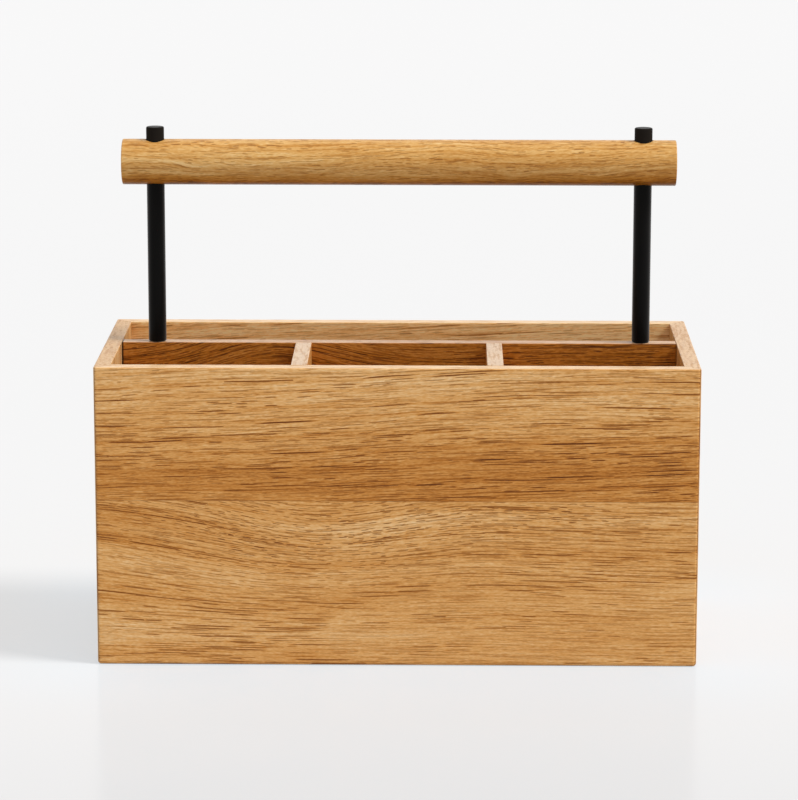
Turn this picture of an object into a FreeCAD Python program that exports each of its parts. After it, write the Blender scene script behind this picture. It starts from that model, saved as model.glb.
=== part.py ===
import FreeCAD, Part
import math
import os

import Sketcher

# A cutlery caddy: an open oak box of mitred, edge-glued boards, with a centre divider, two cross
# dividers in front of it, and a round carrying bar on two black metal posts.
# Frame: millimetres, +X to the caddy's right, +Y to its rear, +Z up. The origin lies on the surface
# that the caddy stands on, in the middle of the box.

# Driving dimensions: cell alias, value in millimetres, what it measures.
SIZES = [
    # box
    ("box_length", "330", "outside of the box, left to right"),
    ("box_depth", "146", "outside of the box, front to rear"),
    ("box_height", "167", "underside to rim"),
    ("wall_thickness", "9", "four mitred walls"),
    ("corner_round", "2", "upright outer corners"),
    ("rim_round", "0.8", "outer edge of the rim"),
    ("inner_rim_round", "0.5", "inner edge of the rim"),
    ("base_round", "1.9", "outer edge of the underside"),
    ("front_seam_height", "93", "glue line of the front wall, above the underside"),
    ("back_seam_height", "78", "glue line of the back wall, above the underside"),
    ("left_seam_ahead", "20.5", "glue line of the left wall, ahead of the centre divider's middle"),
    ("right_seam_behind", "15.5", "glue line of the right wall, behind the centre divider's middle"),
    # floor of the box
    ("floor_lift", "6", "underside of the walls to underside of the bottom panel"),
    ("floor_thickness", "6", "bottom panel"),
    ("groove_depth", "4", "groove in the walls for the bottom panel"),
    ("groove_gap", "0.2", "groove above the bottom panel"),
    ("groove_end_gap", "0.4", "groove beyond the bottom panel's edges"),
    # dividers
    ("divider_thickness", "9", "centre divider"),
    ("cross_divider_thickness", "9", "cross dividers"),
    ("front_space", "65", "front wall to centre divider"),
    ("divider_end_gap", "0.3", "side wall to the end of the centre divider"),
    ("divider_seam_height", "82", "glue line of the centre divider, above the underside"),
    ("divider_round", "0.5", "upper edges of the dividers"),
    # mitre splines
    ("spline_thickness", "2.5", "spline across the mitre"),
    ("spline_width", "8", "spline, half of it in each wall"),
    ("spline_inset", "4.5", "inner corner to the middle of the spline, along the mitre"),
    ("spline_foot", "16", "underside to the lower end of the spline"),
    ("spline_below_rim", "17", "rim to the upper end of the spline's slot"),
    ("spline_gap", "0.1", "slot beyond the spline on every face but its foot"),
    # wooden pins
    ("pin_diameter", "5", "wooden pins of the dividers"),
    ("pin_face_bite", "5", "pin in the face of a wall or divider"),
    ("pin_end_bite", "13", "pin in the end of a divider"),
    ("pin_play", "0.5", "hole beyond each end of its pin"),
    ("pin_gap", "0.05", "hole around its pin"),
    ("pin_chamfer", "0.5", "ends of the pins"),
    ("pin_above_floor", "28", "bottom panel to the lower pins"),
    ("pin_below_rim", "32", "rim to the upper pins"),
    # screws through the bottom panel
    ("screw_head_diameter", "7", "countersunk head"),
    ("screw_head_rim", "0.3", "straight edge of the head"),
    ("screw_diameter", "3.5", "shank"),
    ("screw_length", "25", "whole screw"),
    ("screw_point", "4", "taper at the tip"),
    ("screw_gap", "0.1", "hole around the shank and head"),
    ("screw_play", "1", "hole beyond the tip"),
    ("screw_end_inset", "41", "end of the centre divider to its outer screws"),
    ("drive_slot_width", "0.9", "cross slot in the head"),
    ("drive_slot_length", "4", "cross slot in the head"),
    ("drive_slot_depth", "1.4", "cross slot in the head"),
    # carrying bar
    ("bar_diameter", "25.4", "round wooden bar"),
    ("bar_lift", "89", "rim to the underside of the bar"),
    ("bar_overhang", "18.2", "post's middle to the end of the bar"),
    ("bar_end_round", "0.6", "edges of the bar's ends"),
    ("bar_hole_gap", "0.25", "hole through the bar around the threaded shank"),
    # posts
    ("post_diameter", "10", "round metal post"),
    ("post_inset", "20", "side wall to the post's middle"),
    ("post_recess", "3", "post's upper end above the underside of the bar"),
    ("post_recess_gap", "0.1", "recess around the post's upper end"),
    ("post_foot_round", "1", "lower edge of the post"),
    ("post_top_chamfer", "0.4", "upper edge of the post"),
    # caps and studs
    ("cap_diameter", "10", "screwed cap above the bar"),
    ("cap_stand", "7", "top of the bar to the top of the cap"),
    ("cap_seat_depth", "5", "top of the bar to the cap's seat"),
    ("cap_gap", "0.45", "counterbore around the cap"),
    ("cap_round", "0.8", "upper edge of the cap"),
    ("thread_diameter", "5", "threaded shanks and studs"),
    ("thread_gap", "0.1", "tapped hole around a threaded shank"),
    ("thread_play", "1", "tapped hole beyond the end of a threaded shank"),
    ("thread_chamfer", "0.5", "ends of the threaded shanks"),
    ("cap_thread_bite", "10", "cap's shank in the post"),
    ("stud_metal_bite", "12", "stud in the post"),
    ("stud_wood_bite", "30", "stud in the centre divider"),
    ("stud_point", "5", "taper at the stud's lower end"),
    ("stud_tip_diameter", "1.6", "lower end of the stud's taper"),
]

document = FreeCAD.newDocument("CutleryCaddy")
sheet = document.addObject("Spreadsheet::Sheet", "Sizes")
for row, (alias, value, meaning) in enumerate(SIZES, start=1):
    sheet.set(f"A{row}", alias)
    sheet.set(f"B{row}", value)
    sheet.set(f"C{row}", meaning)
    sheet.setAlias(f"B{row}", alias)
document.recompute()


def size(alias):
    """The expression that reads one driving dimension."""
    return f"Sizes.{alias}"


def number(expression):
    """The present value of an expression."""
    return float(sheet.evalExpression(expression))


# Places that several pieces share, as expressions of the driving dimensions.
ROOT_HALF = "sqrt(0.5)"
# An edge that turns a rounded corner can't be rounded more than the corner is.
CORNER_LIMIT = "0.97 * Sizes.corner_round"
HALF_LENGTH = "(Sizes.box_length / 2)"
HALF_DEPTH = "(Sizes.box_depth / 2)"
RIM = size("box_height")
INNER_X = f"({HALF_LENGTH} - Sizes.wall_thickness)"
INNER_Y = f"({HALF_DEPTH} - Sizes.wall_thickness)"
FLOOR_TOP = "(Sizes.floor_lift + Sizes.floor_thickness)"
DIVIDER_FRONT = f"(Sizes.front_space - {INNER_Y})"
DIVIDER_REAR = f"({DIVIDER_FRONT} + Sizes.divider_thickness)"
DIVIDER_MIDDLE = f"({DIVIDER_FRONT} + Sizes.divider_thickness / 2)"
DIVIDER_END = f"({INNER_X} - Sizes.divider_end_gap)"
# Three front compartments of equal width stand between the side walls and the cross dividers.
CROSS_X = f"({INNER_X} / 3 + Sizes.cross_divider_thickness / 6)"
CROSS_MIDDLE = f"(Sizes.front_space / 2 - {INNER_Y})"
LOW_PINS = f"({FLOOR_TOP} + Sizes.pin_above_floor)"
HIGH_PINS = f"({RIM} - Sizes.pin_below_rim)"
SPLINE_TOP = f"({RIM} - Sizes.spline_below_rim)"
POST_X = f"({INNER_X} - Sizes.post_inset)"
OUTER_SCREW_X = f"({DIVIDER_END} - Sizes.screw_end_inset)"
BAR_RADIUS = "(Sizes.bar_diameter / 2)"
BAR_UNDERSIDE = f"({RIM} + Sizes.bar_lift)"
BAR_AXIS = f"({BAR_UNDERSIDE} + {BAR_RADIUS})"
CAP_SEAT = f"({BAR_UNDERSIDE} + Sizes.bar_diameter - Sizes.cap_seat_depth)"
POST_LENGTH = "(Sizes.bar_lift + Sizes.post_recess)"
PIN_HOLE_RADIUS = "(Sizes.pin_diameter / 2 + Sizes.pin_gap)"
SCREW_HOLE_RADIUS = "(Sizes.screw_diameter / 2 + Sizes.screw_gap)"
TAPPED_RADIUS = "(Sizes.thread_diameter / 2 + Sizes.thread_gap)"

NEAR = 1e-4
parts = []


def new_part(label):
    """A body for one piece. Its label names its file."""
    body = document.addObject("PartDesign::Body", label)
    body.Label = label
    parts.append(body)
    return body


def place(body, x=None, y=None, z=None, turn=0.0):
    """Put a body at its place, turned about the upright axis by so many degrees."""
    body.Placement.Rotation = FreeCAD.Rotation(FreeCAD.Vector(0, 0, 1), turn)
    for axis, expression in (("x", x), ("y", y), ("z", z)):
        if expression is not None:
            body.setExpression(f"Placement.Base.{axis}", expression)


def new_sketch(body, name, role, height):
    """An empty sketch on one of the body's own origin planes, moved along the plane's normal."""
    sketch = body.newObject("Sketcher::SketchObject", name)
    plane = [item for item in body.Origin.OriginFeatures if item.Role == role][0]
    sketch.AttachmentSupport = [(plane, "")]
    sketch.MapMode = "FlatFace"
    sketch.setExpression("AttachmentOffset.Base.z", height)
    return sketch


def hold_point(sketch, geometry, position, label, x, y):
    """Hold one point of a sketch at the place that two expressions give."""
    for kind, letter, axis, expression in (("DistanceX", "x", -2, x), ("DistanceY", "y", -1, y)):
        if expression == "0":
            sketch.addConstraint(Sketcher.Constraint("PointOnObject", geometry, position, axis))
            continue
        distance = Sketcher.Constraint(kind, -1, 1, geometry, position, number(expression))
        index = sketch.addConstraint(distance)
        sketch.renameConstraint(index, f"{label}_{letter}")
        sketch.setExpression(f"Constraints.{label}_{letter}", expression)


def draw_outline(sketch, corners, arcs=()):
    """A closed outline, anticlockwise. arcs maps a corner's index to the radius that follows it."""
    arcs = dict(arcs)
    points = [FreeCAD.Vector(number(x), number(y), 0) for x, y in corners]
    count = len(points)
    for index, start in enumerate(points):
        end = points[(index + 1) % count]
        if index in arcs:
            radius = number(arcs[index])
            chord = end - start
            outward = FreeCAD.Vector(chord.y, -chord.x, 0).normalize()
            rise = radius - math.sqrt(radius**2 - (chord.Length / 2) ** 2)
            sketch.addGeometry(Part.Arc(start, (start + end) * 0.5 + outward * rise, end))
        else:
            sketch.addGeometry(Part.LineSegment(start, end))
    for index in range(count):
        sketch.addConstraint(Sketcher.Constraint("Coincident", index, 2, (index + 1) % count, 1))
    for index, (x, y) in enumerate(corners):
        hold_point(sketch, index, 1, f"corner{index}", x, y)
    for index, radius in arcs.items():
        constraint = sketch.addConstraint(Sketcher.Constraint("Radius", index, number(radius)))
        sketch.renameConstraint(constraint, f"round{index}")
        sketch.setExpression(f"Constraints.round{index}", radius)


def rectangle(left, right, low, high):
    """Four corners of an upright rectangle, anticlockwise."""
    return [(left, low), (right, low), (right, high), (left, high)]


def draw_circles(sketch, centres, radius):
    """Circles of one radius at the given centres."""
    for index, (x, y) in enumerate(centres):
        middle = FreeCAD.Vector(number(x), number(y), 0)
        sketch.addGeometry(Part.Circle(middle, FreeCAD.Vector(0, 0, 1), number(radius)))
        hold_point(sketch, index, 3, f"centre{index}", x, y)
        constraint = sketch.addConstraint(Sketcher.Constraint("Radius", index, number(radius)))
        sketch.renameConstraint(constraint, f"radius{index}")
        sketch.setExpression(f"Constraints.radius{index}", radius)


def pad(body, name, sketch, length, reverse=False):
    """Add the sketch's outlines to the body, along the sketch's normal or against it."""
    feature = body.newObject("PartDesign::Pad", name)
    feature.Profile = sketch
    feature.setExpression("Length", length)
    feature.Reversed = reverse
    document.recompute()
    return feature


def revolve(body, name, sketch):
    """Add a full turn of the outline about the sketch's own upright axis."""
    feature = body.newObject("PartDesign::Revolution", name)
    feature.Profile = sketch
    feature.ReferenceAxis = (sketch, ["V_Axis"])
    feature.Angle = 360
    document.recompute()
    return feature


def cut(body, name, sketch, length=None, along_normal=False):
    """Cut the sketch's outlines out of the body: against the sketch's normal, along it, or right through."""
    volume = body.Shape.Volume
    feature = body.newObject("PartDesign::Pocket", name)
    feature.Profile = sketch
    if length is None:
        feature.Type = "ThroughAll"
        feature.SideType = "Symmetric"
    else:
        feature.setExpression("Length", length)
        feature.Reversed = along_normal
    document.recompute()
    if body.Shape.Volume > volume - NEAR:
        raise RuntimeError(f"{body.Label}: {name} cuts nothing")
    return feature


def edges_at(body, chosen):
    """Names of the edges of the body's present shape whose middle passes a test."""
    names = []
    for index, edge in enumerate(body.Tip.Shape.Edges, start=1):
        middle = edge.valueAt((edge.FirstParameter + edge.LastParameter) / 2)
        if chosen(edge, middle):
            names.append(f"Edge{index}")
    if not names:
        raise RuntimeError(f"{body.Label}: no edge to shape")
    return names


def round_edges(body, name, radius, chosen):
    """Round the chosen edges."""
    base = body.Tip
    names = edges_at(body, chosen)
    feature = body.newObject("PartDesign::Fillet", name)
    feature.Base = (base, names)
    feature.setExpression("Radius", radius)
    document.recompute()


def chamfer_edges(body, name, depth, chosen):
    """Cut the chosen edges back at 45 degrees."""
    base = body.Tip
    names = edges_at(body, chosen)
    feature = body.newObject("PartDesign::Chamfer", name)
    feature.Base = (base, names)
    feature.setExpression("Size", depth)
    document.recompute()


def level_edge(edge, height):
    """Whether an edge lies all at one height."""
    return all(abs(vertex.Z - height) < NEAR for vertex in edge.Vertexes)


# Walls. Each stave is drawn in the frame of its wall: X runs along the wall, the outer face looks
# towards -Y, and a turn about the upright axis brings it to its side of the box.


def spline_slots(body, half_along, half_across, ends, foot, top):
    """Slots for the splines, square to the mitred faces at the given ends."""
    half_slot = "(Sizes.spline_thickness / 2 + Sizes.spline_gap)"
    depth = "(Sizes.spline_width / 2 + Sizes.spline_gap)"
    near = f"(Sizes.spline_inset - {half_slot})"
    far = f"(Sizes.spline_inset + {half_slot})"
    for end in ends:
        corners = []
        for along_mitre, into_wall in ((near, "0"), (far, "0"), (far, depth), (near, depth)):
            x = f"{half_along} - Sizes.wall_thickness + ({along_mitre} - {into_wall}) * {ROOT_HALF}"
            y = f"{half_across} - Sizes.wall_thickness + ({along_mitre} + {into_wall}) * {ROOT_HALF}"
            corners.append((f"{end} * ({x})", f"-({y})"))
        name = "right_spline" if end > 0 else "left_spline"
        sketch = new_sketch(body, f"{name}_outline", "XY_Plane", foot)
        draw_outline(sketch, corners)
        cut(body, f"{name}_slot", sketch, f"{top} - {foot}", along_normal=True)


def wall_stave(label, half_along, half_across, turn, foot=None, top=None, start=None, end=None):
    """One board of a wall. start and end give a plain end's place, and an end without one is mitred."""
    body = new_part(label)
    place(body, turn=turn)
    lower = foot or "0"
    upper = top or RIM
    outer = f"-{half_across}"
    inner = f"-({half_across} - Sizes.wall_thickness)"
    inner_along = f"({half_along} - Sizes.wall_thickness)"
    tangent = f"({half_along} - Sizes.corner_round)"
    tip_back = f"Sizes.corner_round * (1 - {ROOT_HALF})"
    tip_along = f"({half_along} - {tip_back})"
    tip_across = f"-({half_across} - {tip_back})"
    corners = []
    arcs = {}
    if end:
        corners += [(end, outer), (end, inner)]
    else:
        arcs[0] = size("corner_round")
        corners += [(tangent, outer), (tip_along, tip_across), (inner_along, inner)]
    if start:
        corners += [(start, inner), (start, outer)]
    else:
        arcs[len(corners) + 1] = size("corner_round")
        corners += [(f"-{inner_along}", inner), (f"-{tip_along}", tip_across), (f"-{tangent}", outer)]
    plan = new_sketch(body, "plan", "XY_Plane", lower)
    draw_outline(plan, corners, arcs)
    pad(body, "board", plan, f"{upper} - {lower}")

    outer_face = number(outer)
    inner_face = number(inner)
    corner_depth = number(size("corner_round"))
    if not top:
        rim = number(RIM)
        round_edges(body, "rim_edge", f"min(Sizes.rim_round; {CORNER_LIMIT})",
                    lambda edge, middle: level_edge(edge, rim) and middle.y < outer_face + corner_depth)
        round_edges(body, "inner_rim_edge", size("inner_rim_round"),
                    lambda edge, middle: level_edge(edge, rim) and abs(middle.y - inner_face) < NEAR)
    if not foot:
        round_edges(body, "base_edge", f"min(Sizes.base_round; {CORNER_LIMIT})",
                    lambda edge, middle: level_edge(edge, 0) and middle.y < outer_face + corner_depth)
        groove = new_sketch(body, "groove_outline", "YZ_Plane", "0")
        groove_floor = f"-({half_across} - Sizes.wall_thickness + Sizes.groove_depth)"
        draw_outline(groove, rectangle(groove_floor, inner, size("floor_lift"),
                                       f"{FLOOR_TOP} + Sizes.groove_gap"))
        cut(body, "groove", groove)
    ends = ([] if start else [-1]) + ([] if end else [1])
    spline_slots(body, half_along, half_across, ends, foot or size("spline_foot"), top or SPLINE_TOP)
    return body


def pin_holes_in_wall(body, half_across, centres):
    """Blind holes for wooden pins in a wall's inner face."""
    holes = new_sketch(body, "pin_hole_circles", "XZ_Plane", f"{half_across} - Sizes.wall_thickness")
    draw_circles(holes, centres, PIN_HOLE_RADIUS)
    cut(body, "pin_holes", holes, "Sizes.pin_face_bite + Sizes.pin_play", along_normal=True)


def make_walls():
    """Front and back walls of two level boards each, side walls of two upright boards each."""
    front_seam = size("front_seam_height")
    lower = wall_stave("front_panel_lower_stave", HALF_LENGTH, HALF_DEPTH, 0, top=front_seam)
    upper = wall_stave("front_panel_upper_stave", HALF_LENGTH, HALF_DEPTH, 0, foot=front_seam)
    for body, pins in ((lower, LOW_PINS), (upper, HIGH_PINS)):
        pin_holes_in_wall(body, HALF_DEPTH, [(f"-{CROSS_X}", pins), (CROSS_X, pins)])

    back_seam = size("back_seam_height")
    wall_stave("back_panel_lower_stave", HALF_LENGTH, HALF_DEPTH, 180, top=back_seam)
    wall_stave("back_panel_upper_stave", HALF_LENGTH, HALF_DEPTH, 180, foot=back_seam)

    # The left wall's own X points to the front, the right wall's to the rear.
    left_seam = f"(Sizes.left_seam_ahead - {DIVIDER_MIDDLE})"
    left_pins = [(f"-{DIVIDER_MIDDLE}", LOW_PINS), (f"-{DIVIDER_MIDDLE}", HIGH_PINS)]
    wall_stave("left_side_front_stave", HALF_DEPTH, HALF_LENGTH, -90, start=left_seam)
    left_rear = wall_stave("left_side_rear_stave", HALF_DEPTH, HALF_LENGTH, -90, end=left_seam)
    pin_holes_in_wall(left_rear, HALF_LENGTH, left_pins)

    right_seam = f"({DIVIDER_MIDDLE} + Sizes.right_seam_behind)"
    right_pins = [(DIVIDER_MIDDLE, LOW_PINS), (DIVIDER_MIDDLE, HIGH_PINS)]
    right_front = wall_stave("right_side_front_stave", HALF_DEPTH, HALF_LENGTH, 90, end=right_seam)
    wall_stave("right_side_rear_stave", HALF_DEPTH, HALF_LENGTH, 90, start=right_seam)
    pin_holes_in_wall(right_front, HALF_LENGTH, right_pins)


def make_splines():
    """One spline across each mitre, standing on the foot of its slot."""
    middle = f"Sizes.spline_inset * {ROOT_HALF}"
    for depth_name, depth_side in (("front", -1), ("back", 1)):
        for length_name, length_side in (("left", -1), ("right", 1)):
            body = new_part(f"{depth_name}_{length_name}_mitre_spline")
            plan = new_sketch(body, "plan", "XY_Plane", "0")
            draw_outline(plan, rectangle("-Sizes.spline_width / 2", "Sizes.spline_width / 2",
                                         "-Sizes.spline_thickness / 2", "Sizes.spline_thickness / 2"))
            pad(body, "strip", plan, f"{SPLINE_TOP} - Sizes.spline_gap - Sizes.spline_foot")
            place(body, f"{length_side} * ({INNER_X} + {middle})", f"{depth_side} * ({INNER_Y} + {middle})",
                  size("spline_foot"), turn=-45 * length_side * depth_side)


# Floor and dividers


def screw_places():
    """Plan positions of the five screws: three under the centre divider, one under each cross divider."""
    centre = [(f"-{OUTER_SCREW_X}", DIVIDER_MIDDLE), ("0", DIVIDER_MIDDLE), (OUTER_SCREW_X, DIVIDER_MIDDLE)]
    cross = [(f"-{CROSS_X}", CROSS_MIDDLE), (CROSS_X, CROSS_MIDDLE)]
    return centre, cross


def make_bottom_panel():
    """The bottom panel, held in the walls' grooves, with countersunk screw holes from below."""
    body = new_part("bottom_panel")
    reach_x = f"({INNER_X} + Sizes.groove_depth - Sizes.groove_end_gap)"
    reach_y = f"({INNER_Y} + Sizes.groove_depth - Sizes.groove_end_gap)"
    plan = new_sketch(body, "plan", "XY_Plane", size("floor_lift"))
    draw_outline(plan, rectangle(f"-{reach_x}", reach_x, f"-{reach_y}", reach_y))
    pad(body, "panel", plan, size("floor_thickness"))
    centre, cross = screw_places()
    holes = new_sketch(body, "screw_hole_circles", "XY_Plane", size("floor_lift"))
    draw_circles(holes, centre + cross, SCREW_HOLE_RADIUS)
    cut(body, "screw_holes", holes)
    underside = number(size("floor_lift"))
    countersink = "(Sizes.screw_head_diameter - Sizes.screw_diameter) / 2 + Sizes.screw_head_rim"
    chamfer_edges(body, "countersinks", countersink,
                  lambda edge, middle: level_edge(edge, underside) and len(edge.Vertexes) == 1)


def screw_holes_in_foot(body, centres):
    """Pilot holes for the screws in a divider's lower edge."""
    holes = new_sketch(body, "pilot_hole_circles", "XY_Plane", FLOOR_TOP)
    draw_circles(holes, centres, SCREW_HOLE_RADIUS)
    depth = "Sizes.screw_length - Sizes.floor_thickness + Sizes.screw_play"
    cut(body, "pilot_holes", holes, depth, along_normal=True)


def make_centre_divider():
    """The long divider, of two level boards. It carries the posts."""
    centre_screws, cross_screws = screw_places()
    seam = size("divider_seam_height")
    end_hole_depth = "Sizes.pin_end_bite + Sizes.pin_play"
    face_hole_depth = "Sizes.pin_face_bite + Sizes.pin_play"
    for label, foot, top, pins in (("centre_divider_lower_stave", FLOOR_TOP, seam, LOW_PINS),
                                   ("centre_divider_upper_stave", seam, RIM, HIGH_PINS)):
        body = new_part(label)
        plan = new_sketch(body, "plan", "XY_Plane", foot)
        draw_outline(plan, rectangle(f"-{DIVIDER_END}", DIVIDER_END, DIVIDER_FRONT, DIVIDER_REAR))
        pad(body, "board", plan, f"{top} - {foot}")
        if top == RIM:
            rim = number(RIM)
            round_edges(body, "upper_edges", size("divider_round"),
                        lambda edge, middle: level_edge(edge, rim) and abs(middle.x) < NEAR)
            studs = new_sketch(body, "stud_hole_circles", "XY_Plane", RIM)
            draw_circles(studs, [(f"-{POST_X}", DIVIDER_MIDDLE), (POST_X, DIVIDER_MIDDLE)], TAPPED_RADIUS)
            cut(body, "stud_holes", studs, "Sizes.stud_wood_bite + Sizes.thread_play")
        else:
            screw_holes_in_foot(body, centre_screws)
        left = new_sketch(body, "left_pin_hole_circle", "YZ_Plane", f"-{DIVIDER_END}")
        draw_circles(left, [(DIVIDER_MIDDLE, pins)], PIN_HOLE_RADIUS)
        cut(body, "left_pin_hole", left, end_hole_depth, along_normal=True)
        right = new_sketch(body, "right_pin_hole_circle", "YZ_Plane", DIVIDER_END)
        draw_circles(right, [(DIVIDER_MIDDLE, pins)], PIN_HOLE_RADIUS)
        cut(body, "right_pin_hole", right, end_hole_depth)
        front = new_sketch(body, "front_pin_hole_circles", "XZ_Plane", f"-{DIVIDER_FRONT}")
        draw_circles(front, [(f"-{CROSS_X}", pins), (CROSS_X, pins)], PIN_HOLE_RADIUS)
        cut(body, "front_pin_holes", front, face_hole_depth)


def make_cross_dividers():
    """Two short dividers between the front wall and the centre divider."""
    half = "Sizes.cross_divider_thickness / 2"
    hole_depth = "Sizes.pin_end_bite + Sizes.pin_play"
    for name, side in (("left", -1), ("right", 1)):
        body = new_part(f"{name}_cross_divider")
        place(body, x=f"{side} * {CROSS_X}")
        plan = new_sketch(body, "plan", "XY_Plane", FLOOR_TOP)
        draw_outline(plan, rectangle(f"-{half}", half, f"-{INNER_Y}", DIVIDER_FRONT))
        pad(body, "board", plan, f"{RIM} - {FLOOR_TOP}")
        rim = number(RIM)
        middle_y = number(CROSS_MIDDLE)
        round_edges(body, "upper_edges", size("divider_round"),
                    lambda edge, middle: level_edge(edge, rim) and abs(middle.y - middle_y) < NEAR)
        screw_holes_in_foot(body, [("0", CROSS_MIDDLE)])
        front = new_sketch(body, "front_pin_hole_circles", "XZ_Plane", INNER_Y)
        draw_circles(front, [("0", LOW_PINS), ("0", HIGH_PINS)], PIN_HOLE_RADIUS)
        cut(body, "front_pin_holes", front, hole_depth)
        rear = new_sketch(body, "rear_pin_hole_circles", "XZ_Plane", f"-{DIVIDER_FRONT}")
        draw_circles(rear, [("0", LOW_PINS), ("0", HIGH_PINS)], PIN_HOLE_RADIUS)
        cut(body, "rear_pin_holes", rear, hole_depth, along_normal=True)


# Wooden pins and screws. Equal pieces share a node as separate solids.


def chamfer_pins(body):
    """Break the edges at both ends of every pin."""
    chamfer_edges(body, "pin_ends", size("pin_chamfer"), lambda edge, middle: len(edge.Vertexes) == 1
                  and isinstance(edge.Curve, Part.Circle))


def make_pins():
    """Pins from the side walls into the centre divider, and from both faces into the cross dividers."""
    radius = "Sizes.pin_diameter / 2"
    body = new_part("centre_divider_pins")
    centres = [(DIVIDER_MIDDLE, LOW_PINS), (DIVIDER_MIDDLE, HIGH_PINS)]
    length = "Sizes.pin_end_bite + Sizes.divider_end_gap + Sizes.pin_face_bite"
    inner_end = f"({DIVIDER_END} - Sizes.pin_end_bite)"
    left = new_sketch(body, "left_circles", "YZ_Plane", f"-{inner_end}")
    draw_circles(left, centres, radius)
    pad(body, "left_pins", left, length, reverse=True)
    right = new_sketch(body, "right_circles", "YZ_Plane", inner_end)
    draw_circles(right, centres, radius)
    pad(body, "right_pins", right, length)
    chamfer_pins(body)

    centres = [("0", LOW_PINS), ("0", HIGH_PINS)]
    length = "Sizes.pin_end_bite + Sizes.pin_face_bite"
    for name, side in (("left", -1), ("right", 1)):
        body = new_part(f"{name}_cross_divider_pins")
        place(body, x=f"{side} * {CROSS_X}")
        front = new_sketch(body, "front_circles", "XZ_Plane", f"{INNER_Y} + Sizes.pin_face_bite")
        draw_circles(front, centres, radius)
        pad(body, "front_pins", front, length, reverse=True)
        rear = new_sketch(body, "rear_circles", "XZ_Plane", f"-({DIVIDER_FRONT} + Sizes.pin_face_bite)")
        draw_circles(rear, centres, radius)
        pad(body, "rear_pins", rear, length)
        chamfer_pins(body)


def make_base_screws():
    """Countersunk screws from under the bottom panel into the dividers, heads flush with the panel."""
    body = new_part("base_screws")
    place(body, z=size("floor_lift"))
    head = "(Sizes.screw_head_diameter / 2)"
    shank = "(Sizes.screw_diameter / 2)"
    cone_top = f"Sizes.screw_head_rim + {head} - {shank}"
    profile = [("0", "0"), (head, "0"), (head, size("screw_head_rim")), (shank, cone_top),
               (shank, "Sizes.screw_length - Sizes.screw_point"), ("0", size("screw_length"))]
    centre, cross = screw_places()
    for index, (x, y) in enumerate(centre + cross):
        outline = new_sketch(body, f"screw{index}_outline", "XZ_Plane", f"-{y}")
        outline.setExpression("AttachmentOffset.Base.x", x)
        draw_outline(outline, profile)
        revolve(body, f"screw{index}", outline)
        for name, reach_x, reach_y in (("long", "Sizes.drive_slot_length / 2", "Sizes.drive_slot_width / 2"),
                                       ("cross", "Sizes.drive_slot_width / 2", "Sizes.drive_slot_length / 2")):
            slot = new_sketch(body, f"screw{index}_{name}_slot_outline", "XY_Plane", "0")
            slot.setExpression("AttachmentOffset.Base.x", x)
            slot.setExpression("AttachmentOffset.Base.y", y)
            draw_outline(slot, rectangle(f"-{reach_x}", reach_x, f"-{reach_y}", reach_y))
            cut(body, f"screw{index}_{name}_slot", slot, size("drive_slot_depth"), along_normal=True)


# Carrying bar and its hardware


def make_handle_bar():
    """The round bar, drilled for each post: a recess from below, a counterbore from above, a hole between."""
    body = new_part("handle_bar")
    place(body, y=DIVIDER_MIDDLE, z=BAR_AXIS)
    half = f"({POST_X} + Sizes.bar_overhang)"
    end = new_sketch(body, "end_circle", "YZ_Plane", f"-{half}")
    draw_circles(end, [("0", "0")], BAR_RADIUS)
    pad(body, "bar", end, f"2 * {half}")
    round_edges(body, "end_edges", size("bar_end_round"), lambda edge, middle: len(edge.Vertexes) == 1)
    centres = [(f"-{POST_X}", "0"), (POST_X, "0")]
    shanks = new_sketch(body, "shank_hole_circles", "XY_Plane", BAR_RADIUS)
    draw_circles(shanks, centres, "Sizes.thread_diameter / 2 + Sizes.bar_hole_gap")
    cut(body, "shank_holes", shanks, size("bar_diameter"))
    caps = new_sketch(body, "cap_counterbore_circles", "XY_Plane", BAR_RADIUS)
    draw_circles(caps, centres, "Sizes.cap_diameter / 2 + Sizes.cap_gap")
    cut(body, "cap_counterbores", caps, size("cap_seat_depth"))
    recesses = new_sketch(body, "post_recess_circles", "XY_Plane", f"-{BAR_RADIUS}")
    draw_circles(recesses, centres, "Sizes.post_diameter / 2 + Sizes.post_recess_gap")
    cut(body, "post_recesses", recesses, size("post_recess"), along_normal=True)


def make_post(name, x):
    """A round post on the centre divider, tapped at both ends. Its frame stands on the rim."""
    body = new_part(f"{name}_post")
    place(body, x, DIVIDER_MIDDLE, RIM)
    radius = "(Sizes.post_diameter / 2)"
    chamfer = size("post_top_chamfer")
    foot = size("post_foot_round")
    lower_bore = "Sizes.stud_metal_bite + Sizes.thread_play"
    upper_bore = f"{POST_LENGTH} - Sizes.cap_thread_bite - Sizes.thread_play"
    outline = new_sketch(body, "outline", "XZ_Plane", "0")
    draw_outline(outline, [(TAPPED_RADIUS, "0"), (f"{radius} - {foot}", "0"), (radius, foot),
                           (radius, f"{POST_LENGTH} - {chamfer}"), (f"{radius} - {chamfer}", POST_LENGTH),
                           (TAPPED_RADIUS, POST_LENGTH), (TAPPED_RADIUS, upper_bore), ("0", upper_bore),
                           ("0", lower_bore), (TAPPED_RADIUS, lower_bore)], {1: foot})
    revolve(body, "post", outline)


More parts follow.
